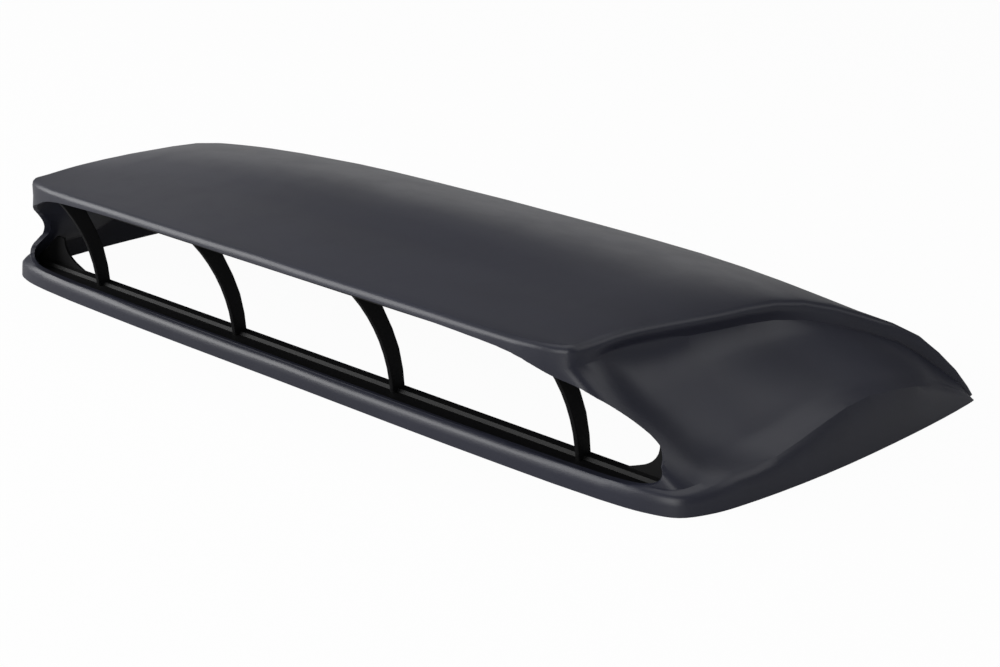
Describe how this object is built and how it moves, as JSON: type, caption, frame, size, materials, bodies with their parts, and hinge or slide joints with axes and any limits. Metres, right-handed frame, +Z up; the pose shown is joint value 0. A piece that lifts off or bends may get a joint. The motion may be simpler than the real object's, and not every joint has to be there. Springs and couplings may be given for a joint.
{
  "type": "bonnet vent",
  "caption": "Wide bonnet scoop with an open underside, scalloped cheeks and a front mouth closed by a louvre of curved vanes.",
  "frame": {"origin": "middle of the bounding box on plan, at the height of the base rim", "axes": "+X across the car, -Y towards the mouth and the front of the car, +Z up"},
  "size_m": [0.5996, 0.3154, 0.0909],
  "materials": {
    "scoop_shell": "dark grey, satin",
    "louvre_insert": "black, matt"
  },
  "bodies": {
    "root": {"scoop_shell": "scoop_shell", "louvre_insert": "louvre_insert"}
  },
  "joints": []
}
